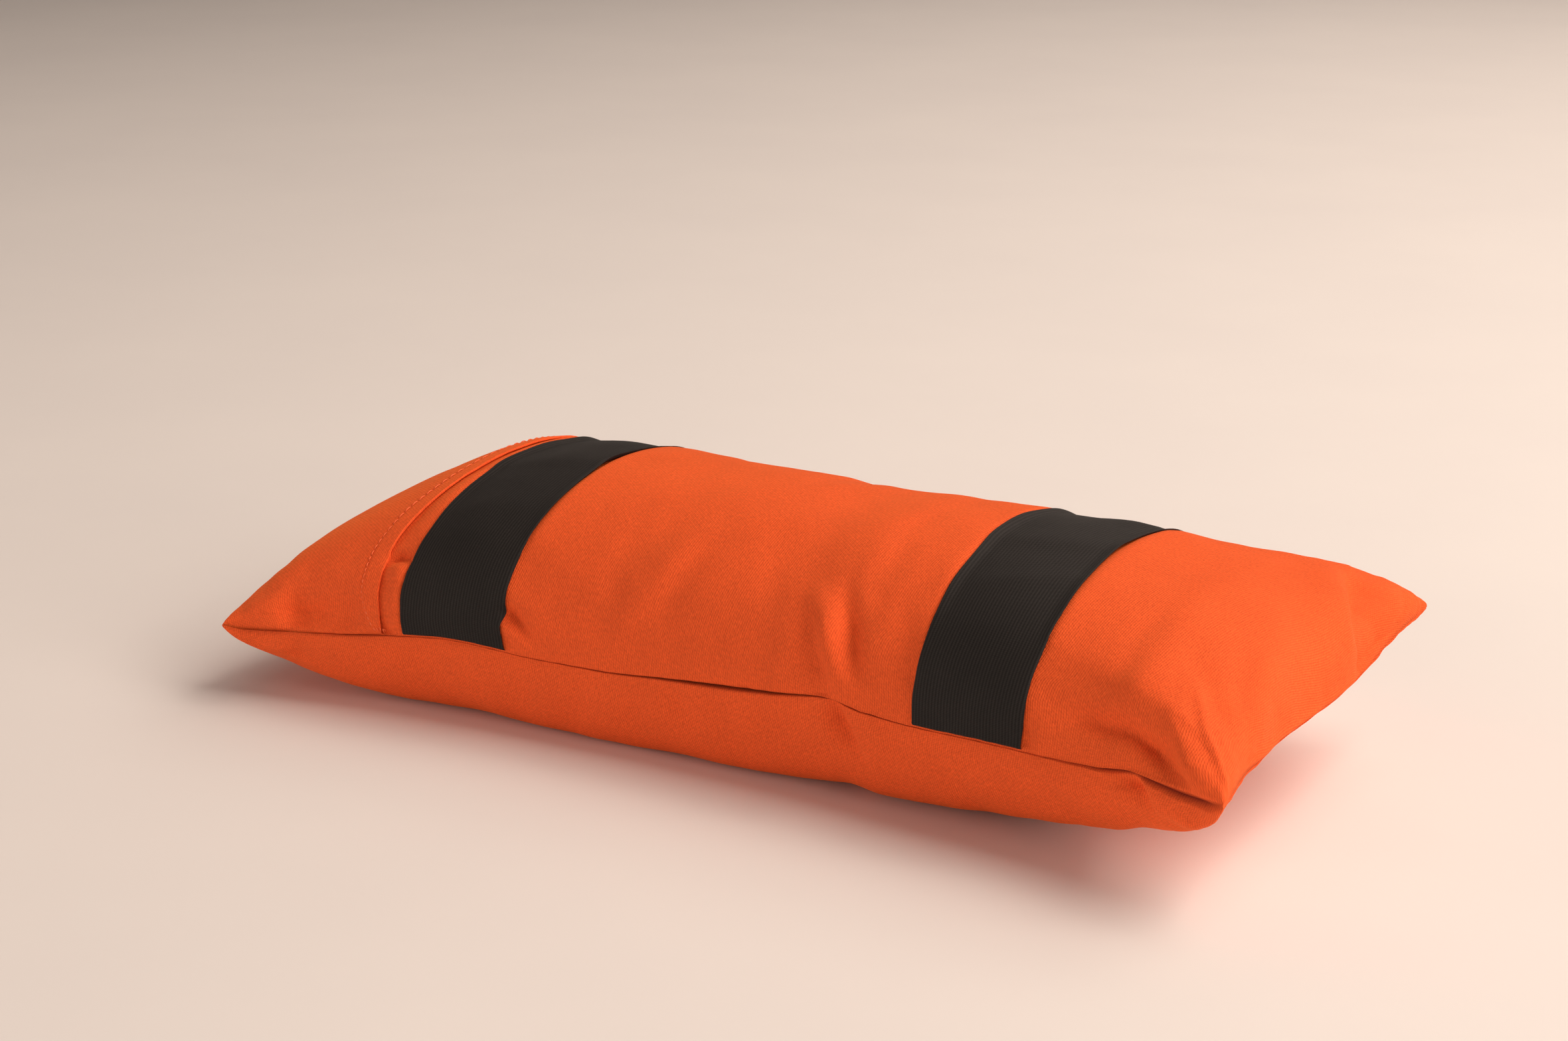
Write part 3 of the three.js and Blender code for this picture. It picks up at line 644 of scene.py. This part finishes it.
def make_cover():
    """The filled cover: top and bottom panel on one grid, the top one lower where the flap lies over it."""
    along, across = cover_grid(-1, 1, BODY_COLUMNS, BODY_HALF_ROWS, END_CROWDING, END_CROWDING)
    x = along * HALF_LENGTH
    hem = through_rows(HEM_ROWS, 1, cloth_distance(across) + 0 * along)
    bottom, _, bottom_gap = cover(along, across, BOTTOM)
    top, from_seam, top_gap = cover(along, across, TOP)
    drop = FLAP_STEP * (1 - ease(hem, FLAP_EASE_X, x)) * ease(0.3, 5, from_seam)
    out = directions(along, across, TOP)[0]
    top = top - out * drop[..., None]
    shift = np.array([0, BOTTOM_MAP_SHIFT * HALF_PANEL])
    return shell("cushion_cover", top, bottom, cloth_map(top), cloth_map(bottom) + shift, top_gap, bottom_gap)


FLAP_COLUMNS = 150


def make_flap():
    """The closure flap: a sheet over the left end whose free edge is turned under into a hem. Its outer face
    is the cover's, thicker over the hem, with a groove along the hem's stitching and a rounded fold. The
    grid's columns are shifted, by the cube of the way along it, so that the last one lies on the fold."""
    along, across = cover_grid(-1, FLAP_GRID_END, FLAP_COLUMNS, BODY_HALF_ROWS, END_CROWDING, FOLD_CROWDING)
    distance = cloth_distance(across) + 0 * along
    t = (along + 1) / (1 + FLAP_GRID_END)
    hem = through_rows(HEM_ROWS, 1, distance)
    along = along + t ** 3 * (hem / HALF_LENGTH - FLAP_GRID_END)
    from_fold = hem - along * HALF_LENGTH
    width = hem_width(distance)
    radius = HEM_THICKNESS / 2
    round_off = np.sqrt(np.clip(1 - np.clip(1 - from_fold / radius, 0, 1) ** 2, 0, 1))
    outer, from_seam, gap = cover(along, across, TOP)
    out = directions(along, across, TOP)[0]
    at_rim = ease(0.2, 4, from_seam)
    over_hem = ease(1.2, -0.6, from_fold - width)
    groove = GROOVE_DEPTH * np.exp(-((from_fold - width) / GROOVE_WIDTH) ** 2)
    lumps = HEM_LUMPS * drift(along * HALF_LENGTH, distance, HEM_LUMP_LENGTH, seed=41) * over_hem
    face = (HEM_RAISE * over_hem + lumps - groove) * at_rim
    thick = (FLAP_THICKNESS + (HEM_THICKNESS - FLAP_THICKNESS) * over_hem) * at_rim
    top, under = sheet_faces(outer, out, face - thick / 2, thick / 2 * round_off)
    return shell("closure_flap_cloth", top, under, cloth_map(top), cloth_map(under), gap, gap)


def hem_width(distance):
    """Width of the hem from its fold to its stitching, narrower where it runs into the seams."""
    return HEM_WIDTH - (HEM_WIDTH - HEM_WIDTH_AT_SEAM) * ease(88, HALF_PANEL, np.abs(distance))


ELASTIC_COLUMNS, ELASTIC_EDGE_CROWDING = 44, 1.7


def make_elastic(name, middle_rows, seed):
    """An elastic from seam to seam: a flat band on the cover whose width follows its middle line, with
    rounded woven edges, that thins to nothing where the seam takes it in."""
    q = np.linspace(-1, 1, ELASTIC_COLUMNS + 1)
    q = np.sign(q) * (1 - (1 - np.abs(q)) ** ELASTIC_EDGE_CROWDING)
    r = np.linspace(-1, 1, 2 * BODY_HALF_ROWS + 1)
    across = across_at(np.sign(r) * HALF_PANEL * (1 - (1 - np.abs(r)) ** ROW_CROWDING))
    distance = cloth_distance(across)
    middle = through_rows(middle_rows, 1, distance)[None]
    wander = drift(distance, q[:, None], ELASTIC_EDGE_WAVE_LENGTH, seed)
    half = ELASTIC_WIDTH / 2 + ELASTIC_EDGE_WANDER * wander
    x = middle + half * q[:, None]
    along, across = x / HALF_LENGTH, across[None] + 0 * x
    lying, from_seam, _ = cover(along, across, TOP)
    out = directions(along, across, TOP)[0]
    rounding = np.sqrt(np.clip(1 - np.abs(q[:, None]) ** ELASTIC_EDGE_ROUNDNESS, 0, 1))
    into_seam = ease(0.1, 2.2, from_seam)
    thick = ELASTIC_THICKNESS * into_seam
    waves = ELASTIC_WAVE * drift(x, distance[None], ELASTIC_WAVE_LENGTH, seed + 1) * into_seam
    bends = crease_height(ELASTIC_BENDS, x, distance[None] + 0 * x, from_seam)
    middle_lift = (ELASTIC_LIE + thick / 2 + bends + np.clip(waves, ELASTIC_DIP, None)) * into_seam
    top, under = sheet_faces(lying, out, middle_lift, thick / 2 * rounding)
    return shell(name, top, under, cloth_map(top), cloth_map(under))


def tubes(name, paths, radius, sides=6):
    """One mesh of round threads: each path is a row of points in mm, and its ring of corners stands square to
    it, drawn in at both ends."""
    count, length = paths.shape[:2]
    heading = unit(np.gradient(paths, axis=1))
    # the rings are turned by a direction that no thread here runs in
    across = unit(np.cross(heading, np.array([0.13, 0.31, 0.94])))
    rise = np.cross(heading, across)
    turn = np.linspace(0, 2 * np.pi, sides, endpoint=False)
    ends = np.sin(np.pi * np.linspace(0.04, 0.96, length)) ** 0.35
    ring = across[:, :, None] * np.cos(turn)[:, None] + rise[:, :, None] * np.sin(turn)[:, None]
    points = paths[:, :, None] + ring * (radius * ends)[None, :, None, None]
    index = np.arange(count * length * sides).reshape(count, length, sides)
    turned = np.roll(index, -1, 2)
    walls = np.stack([index[:, :-1], turned[:, :-1], turned[:, 1:], index[:, 1:]], -1).reshape(-1, 4)
    caps = np.concatenate([index[:, 0, ::-1], index[:, -1]]).reshape(-1, sides)
    return new_object(name, points, walls.tolist() + caps.tolist())


# Hem stitching: real lengths of a lockstitch in strong thread, how far it stays off the seams, its slant,
# and the arch that each stitch makes from hole to hole
STITCH, STITCH_GAP, THREAD_RADIUS = 2.7, 0.75, 0.26
STITCHES_OFF_SEAM, STITCH_SLANT = 3, 0.22
ARCH_SINK, ARCH_RISE, ARCH_ROUNDNESS = 0.08, 0.45, 0.6


def make_hem_stitches():
    """The hem's row of stitches: each one arches from hole to hole over the groove, lying on the flap's face,
    with a slight slant of its own."""
    last = HALF_PANEL - STITCHES_OFF_SEAM
    first = np.arange(-last, last - STITCH, STITCH + STITCH_GAP)
    t = np.linspace(0, 1, 7)
    distance = first[:, None] + STITCH * t
    draw = np.random.default_rng(51)
    slant = draw.uniform(-STITCH_SLANT, STITCH_SLANT, len(first))[:, None] * (t - 0.5)
    hem = through_rows(HEM_ROWS, 1, distance)
    x = hem - hem_width(distance) + slant
    points, out = on_cover(x, distance)
    arch = ARCH_RISE * np.sin(np.pi * t) ** ARCH_ROUNDNESS - ARCH_SINK
    return tubes("hem_stitching", points + out * arch[None, :, None], THREAD_RADIUS)


FINE_COLUMNS, FINE_HALF_ROWS, FINE_END = 260, 120, -0.55


def on_cover(x, distance):
    """Places on the finished top cover at given x and cloth distance, each found on a fine grid of the left
    end by blending its nearest four points, with the direction out of the cloth there. Places are looked up
    on the crown's row and on a column near the hem."""
    along, across = cover_grid(-1, FINE_END, FINE_COLUMNS, FINE_HALF_ROWS)
    grid = cover(along, across, TOP)[0]
    out = directions(along, across, TOP)[0]
    column = np.interp(x / HALF_LENGTH, along[:, FINE_HALF_ROWS], np.arange(len(along)))
    row = np.interp(across_at(distance), across[200], np.arange(across.shape[1]))
    i, j = np.floor(column).astype(int), np.floor(row).astype(int)
    u, v = (column - i)[..., None], (row - j)[..., None]

    def blend(field):
        return ((field[i, j] * (1 - u) + field[i + 1, j] * u) * (1 - v)
                + (field[i, j + 1] * (1 - u) + field[i + 1, j + 1] * u) * v)
    return blend(grid), unit(blend(out))


# Thread tail: x and cloth distance of each curl's root, and the thread's radius
TAIL_X, TAIL_DISTANCE = np.array([-166.4, -164.6, -163.2]), np.array([-114.6, -114.4, -114.8])
TAIL_RADIUS = 0.16


def make_thread_tail():
    """The sewing thread's cut tail, three short curls that stand out of the front seam at the hem."""
    t = np.linspace(0, 1, 9)
    root, out = on_cover(TAIL_X, TAIL_DISTANCE)
    draw = np.random.default_rng(61)
    curls = []
    for start, away in zip(root, out):
        reach = draw.uniform(1.6, 2.6)
        lean = draw.uniform(-1.4, 1.4)
        x = lean * t + 0.5 * np.sin(5 * t + lean)
        z = reach * np.sin(np.pi * 0.8 * t)
        stand_off = away * (0.2 + 0.9 * np.sin(np.pi * t))[:, None]
        curls.append(start + stand_off + np.stack([x, 0 * t, z], -1))
    return tubes("seam_thread_tail", np.array(curls), TAIL_RADIUS)


def linear(hex_colour):
    """An sRGB hex colour as the linear red, green, blue and 1 that a shader takes."""
    parts = [int(hex_colour[place:place + 2], 16) / 255 for place in (1, 3, 5)]
    return [c / 12.92 if c <= 0.04045 else ((c + 0.055) / 1.055) ** 2.4 for c in parts] + [1.0]


def add(tree, kind, inputs=None, **settings):
    """Adds one node: settings are its own properties, inputs its sockets by name or number, each given a
    value or the socket that feeds it."""
    node = tree.nodes.new("ShaderNode" + kind)
    for name, value in settings.items():
        setattr(node, name, value)
    for name, value in (inputs or {}).items():
        if isinstance(value, bpy.types.NodeSocket):
            tree.links.new(value, node.inputs[name])
        else:
            node.inputs[name].default_value = value
    return node


def new_finish(name):
    """An empty material and its node tree."""
    material = bpy.data.materials.new(name)
    material.use_nodes = True
    material.node_tree.nodes.clear()
    return material, material.node_tree


def end_finish(tree, surface):
    """Ends a material with its shader, which takes all that the surface says, and the output."""
    shader = add(tree, "BsdfPrincipled", surface)
    add(tree, "OutputMaterial", {"Surface": shader.outputs[0]})


def band_scale(pitch_mm):
    """Scale of a Wave node on coordinates in metres whose bands are pitch_mm apart."""
    return 2 * np.pi / 20 / (pitch_mm * MM)


def cotton_twill():
    """Cotton twill, dyed orange, woven and washed: matt with a soft fuzz sheen, fine steep ribs that run from
    seam to seam with a slight lean, crossed by the weft, and a faint mottle where the dye took unevenly."""
    material, tree = new_finish("cotton_twill_woven")
    uv = add(tree, "UVMap", uv_map="cloth").outputs[0]
    lean = add(tree, "Mapping", {"Vector": uv, "Rotation": (0, 0, np.radians(9))}).outputs[0]
    # real ribs are 0.62 mm apart, drawn at 1.0 mm so that they show
    ribs = add(tree, "TexWave", {"Vector": lean, "Scale": band_scale(1.0), "Distortion": 0.6, "Detail": 1.0,
                                 "Detail Scale": 2.0}, bands_direction="X").outputs["Fac"]
    cross = add(tree, "Mapping", {"Vector": uv, "Rotation": (0, 0, np.radians(-52))}).outputs[0]
    weft = add(tree, "TexWave", {"Vector": cross, "Scale": band_scale(1.15), "Distortion": 0.8,
                                 "Detail": 1.0}, bands_direction="X").outputs["Fac"]
    drawn_out = add(tree, "Mapping", {"Vector": uv, "Scale": (1500, 420, 1)}).outputs[0]
    slubs = add(tree, "TexNoise", {"Vector": drawn_out, "Scale": 1.0, "Detail": 2.0},
                noise_dimensions="2D").outputs[0]
    mottle = add(tree, "TexNoise", {"Vector": uv, "Scale": 45.0, "Detail": 4.0, "Roughness": 0.6},
                 noise_dimensions="2D").outputs[0]
    weave = add(tree, "Math", {0: weft, 1: 0.45, 2: ribs}, operation="MULTIPLY_ADD").outputs[0]
    relief = add(tree, "Math", {0: slubs, 1: 1.6, 2: weave}, operation="MULTIPLY_ADD").outputs[0]
    shade = add(tree, "MapRange", {"Value": relief, "From Min": 0.6, "From Max": 2.5, "To Min": 0.0,
                                   "To Max": 1.0}).outputs[0]
    thread = add(tree, "Mix", {0: shade, 6: linear("#d44f23"), 7: linear("#f6652f")},
                 data_type="RGBA").outputs[2]
    clouds = add(tree, "MapRange", {"Value": mottle, "From Min": 0.3, "From Max": 0.7, "To Min": 0.965,
                                    "To Max": 1.035}).outputs[0]
    # the grain of single threads, drawn at 1.4 mm for the same reason
    grain = add(tree, "TexNoise", {"Vector": uv, "Scale": 720.0, "Detail": 2.0, "Roughness": 0.6},
                noise_dimensions="2D").outputs[0]
    specks = add(tree, "MapRange", {"Value": grain, "From Min": 0.25, "From Max": 0.75, "To Min": 0.91,
                                    "To Max": 1.09}).outputs[0]
    uneven = add(tree, "Math", {0: clouds, 1: specks}, operation="MULTIPLY").outputs[0]
    dyed = add(tree, "HueSaturation", {"Color": thread, "Value": uneven}).outputs[0]
    # painted shade: the cloth is darkened towards deep red in the closed gap of the seams, where little light
    # gets in between the two panels
    gap = add(tree, "Attribute", attribute_name="seam_gap_painted_shade").outputs["Fac"]
    painted_seam_shade = add(tree, "Math", {0: gap, 1: 0.9}, operation="MULTIPLY").outputs[0]
    colour = add(tree, "Mix", {0: painted_seam_shade, 6: dyed, 7: linear("#5e0e08")}, data_type="RGBA").outputs[2]
    bump = add(tree, "Bump", {"Height": relief, "Strength": 0.42, "Distance": 0.00022}).outputs[0]
    end_finish(tree, {"Base Color": colour, "Normal": bump, "Roughness": 0.88, "Specular IOR Level": 0.18,
                      "Sheen Weight": 0.25, "Sheen Roughness": 0.45, "Sheen Tint": linear("#ff9438")})
    return material


def woven_elastic():
    """Woven elastic webbing in black polyester over rubber cords: near black and a little warm, with straight
    ribs along its length, finer picks across them and a dull sheen on the ribs' backs."""
    material, tree = new_finish("woven_elastic_webbing")
    uv = add(tree, "UVMap", uv_map="cloth").outputs[0]
    # real ribs are 1.15 mm apart, drawn at 1.4 mm so that they show
    ribs = add(tree, "TexWave", {"Vector": uv, "Scale": band_scale(1.4), "Distortion": 0.3, "Detail": 1.0},
               bands_direction="X").outputs["Fac"]
    slant = add(tree, "Mapping", {"Vector": uv, "Rotation": (0, 0, np.radians(62))}).outputs[0]
    picks = add(tree, "TexWave", {"Vector": slant, "Scale": band_scale(0.8), "Distortion": 0.5},
                bands_direction="X").outputs["Fac"]
    fuzz = add(tree, "TexNoise", {"Vector": uv, "Scale": 900.0, "Detail": 2.0},
               noise_dimensions="2D").outputs[0]
    wear = add(tree, "TexNoise", {"Vector": uv, "Scale": 30.0, "Detail": 3.0},
               noise_dimensions="2D").outputs[0]
    weave = add(tree, "Math", {0: picks, 1: 0.4, 2: ribs}, operation="MULTIPLY_ADD").outputs[0]
    shade = add(tree, "Math", {0: fuzz, 1: 0.5, 2: weave}, operation="MULTIPLY_ADD").outputs[0]
    level = add(tree, "MapRange", {"Value": shade, "From Min": 0.4, "From Max": 1.6}).outputs[0]
    yarn = add(tree, "Mix", {0: level, 6: linear("#191716"), 7: linear("#2b2928")},
               data_type="RGBA").outputs[2]
    dust = add(tree, "MapRange", {"Value": wear, "From Min": 0.3, "From Max": 0.7, "To Min": 0.92,
                                  "To Max": 1.10}).outputs[0]
    dusty = add(tree, "HueSaturation", {"Color": yarn, "Value": dust}).outputs[0]
    bump = add(tree, "Bump", {"Height": weave, "Strength": 0.22, "Distance": 0.0003}).outputs[0]
    end_finish(tree, {"Base Color": dusty, "Normal": bump, "Roughness": 0.72, "Specular IOR Level": 0.15,
                      "Sheen Weight": 0.02, "Sheen Roughness": 0.5})
    return material


def sewing_thread():
    """Spun polyester sewing thread in the cloth's orange: a touch lighter and shinier than the cotton, with
    a fine unevenness from the twist of its strands."""
    material, tree = new_finish("spun_polyester_thread")
    place = add(tree, "TexCoord").outputs["Object"]
    twist = add(tree, "TexNoise", {"Vector": place, "Scale": 2500.0, "Detail": 1.0}).outputs[0]
    colour = add(tree, "Mix", {0: twist, 6: linear("#e25c29"), 7: linear("#f97c44")},
                 data_type="RGBA").outputs[2]
    bump = add(tree, "Bump", {"Height": twist, "Strength": 0.3, "Distance": 0.0001}).outputs[0]
    end_finish(tree, {"Base Color": colour, "Normal": bump, "Roughness": 0.6})
    return material


def studio_floor():
    """Matt studio background paper, warm off-white: a faint fibre mottle and nothing else."""
    material, tree = new_finish("background_paper_matt")
    place = add(tree, "TexCoord").outputs["Object"]
    fibre = add(tree, "TexNoise", {"Vector": place, "Scale": 6.0, "Detail": 3.0}).outputs[0]
    colour = add(tree, "Mix", {0: fibre, 6: linear("#e5e4e3"), 7: linear("#ebeae8")},
                 data_type="RGBA").outputs[2]
    end_finish(tree, {"Base Color": colour, "Roughness": 0.95, "Specular IOR Level": 0.1})
    return material


FLOOR_RADIUS, COVE_RADIUS, COVE_HEIGHT = 4500.0, 1500.0, 1800.0
FLOOR_RINGS, COVE_RINGS, FLOOR_SIDES = 24, 16, 96
CENTRE_RADIUS = 0.01


def make_floor():
    """A round sweep of paper: flat out to the floor radius, then up through a quarter circle to a wall, the
    same all round."""
    flat = np.array([(r, 0) for r in np.linspace(CENTRE_RADIUS, FLOOR_RADIUS, FLOOR_RINGS)])
    bend = np.linspace(0, np.pi / 2, COVE_RINGS + 1)[1:]
    curve = np.stack([FLOOR_RADIUS + COVE_RADIUS * np.sin(bend), COVE_RADIUS * (1 - np.cos(bend))], -1)
    wall = np.array([(FLOOR_RADIUS + COVE_RADIUS, COVE_HEIGHT)])
    profile = np.concatenate([flat, curve, wall])
    turn = np.linspace(0, 2 * np.pi, FLOOR_SIDES, endpoint=False)
    points = np.stack([profile[:, :1] * np.cos(turn), profile[:, :1] * np.sin(turn),
                       np.repeat(profile[:, 1:], len(turn), 1)], -1)
    index = np.arange(points[..., 0].size).reshape(points.shape[:2])
    turned = np.roll(index, -1, 1)
    faces = np.stack([index[:-1], index[1:], turned[1:], turned[:-1]], -1).reshape(-1, 4)
    floor = new_object("studio_floor", points, faces.tolist() + [index[0].tolist()])
    floor.data.materials.append(studio_floor())


SENSOR_WIDTH, LENS = 36, 67.69
CAMERA_PLACE, CAMERA_TARGET = (602.0, -1032.5, 455.5), (-13.5, 0, 88)


def make_camera():
    """Camera at the photograph's angle: from the front right and a little above, with a long lens."""
    camera = bpy.data.objects.new("camera", bpy.data.cameras.new("camera"))
    bpy.context.scene.collection.objects.link(camera)
    camera.data.sensor_width = SENSOR_WIDTH
    camera.data.lens = LENS
    camera.location = Vector(CAMERA_PLACE) * MM
    target = Vector(CAMERA_TARGET) * MM
    camera.rotation_euler = (target - camera.location).to_track_quat("-Z", "Y").to_euler()
    bpy.context.scene.camera = camera


# Soft lights: name, azimuth from the front anticlockwise, height of the middle, distance, width, height in m,
# watts. All share the warm tint of the photograph's light.
LIGHT_TINT = "#ffeadb"
LIGHT_AIM = Vector((0, 0, 0.05))
ROOM_STRENGTH = 0.02
LIGHTS = [
    ("soft_key_right", 105, 2.40, 1.95, 1.9, 2.1, 73),
    ("soft_key_back", 150, 2.40, 2.00, 1.9, 2.1, 34),
    ("low_reflector_right", 80, 1.25, 3.00, 2.4, 1.4, 48),
    ("low_reflector_left", -60, 0.45, 3.00, 1.6, 0.8, 26),
    ("front_reflector", 0, 0.42, 3.20, 3.4, 0.78, 17),
    ("back_fill", 180, 1.60, 2.70, 2.4, 1.6, 15),
]


def make_lights():
    """Upright softboxes and reflectors that face the cushion, and a dim sky for the room's own light."""
    for name, azimuth, middle, distance, width, height, watts in LIGHTS:
        light = bpy.data.lights.new(name, "AREA")
        light.shape, light.size, light.size_y, light.energy = "RECTANGLE", width, height, watts
        light.color = linear(LIGHT_TINT)[:3]
        box = bpy.data.objects.new(name, light)
        bpy.context.scene.collection.objects.link(box)
        a = np.radians(azimuth)
        box.location = (distance * np.sin(a), -distance * np.cos(a), middle)
        aim = LIGHT_AIM - box.location
        box.rotation_euler = aim.to_track_quat("-Z", "Y").to_euler()
        box.visible_camera = False
    world = bpy.data.worlds.new("studio_room")
    bpy.context.scene.world = world
    world.use_nodes = True
    backing = world.node_tree.nodes["Background"]
    backing.inputs["Color"].default_value = linear(LIGHT_TINT)
    backing.inputs["Strength"].default_value = ROOM_STRENGTH


def main():
    """Makes all pieces, gives each its material and hangs it on the root body, hides the solids from
    model.glb, and puts up floor, lights and camera.
    """
    twill, webbing, thread = cotton_twill(), woven_elastic(), sewing_thread()
    body = make_cover()
    flap = make_flap()
    left = make_elastic("elastic_left", LEFT_ELASTIC, 71)
    right = make_elastic("elastic_right", RIGHT_ELASTIC, 81)
    stitches = make_hem_stitches()
    tail = make_thread_tail()
    for piece, finish, slot in ((body, twill, "cover_twill"), (flap, twill, "cover_twill"),
                                (left, webbing, "strap_elastic"), (right, webbing, "strap_elastic"),
                                (stitches, thread, "cover_twill"), (tail, thread, "cover_twill")):
        piece.data.materials.append(finish)
        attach(piece, "root")
    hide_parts("cushion_body")
    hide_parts("closure_flap")
    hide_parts("strap_left")
    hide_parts("strap_right")
    make_floor()
    make_camera()
    make_lights()
    bpy.context.scene.view_settings.view_transform = "Standard"


main()
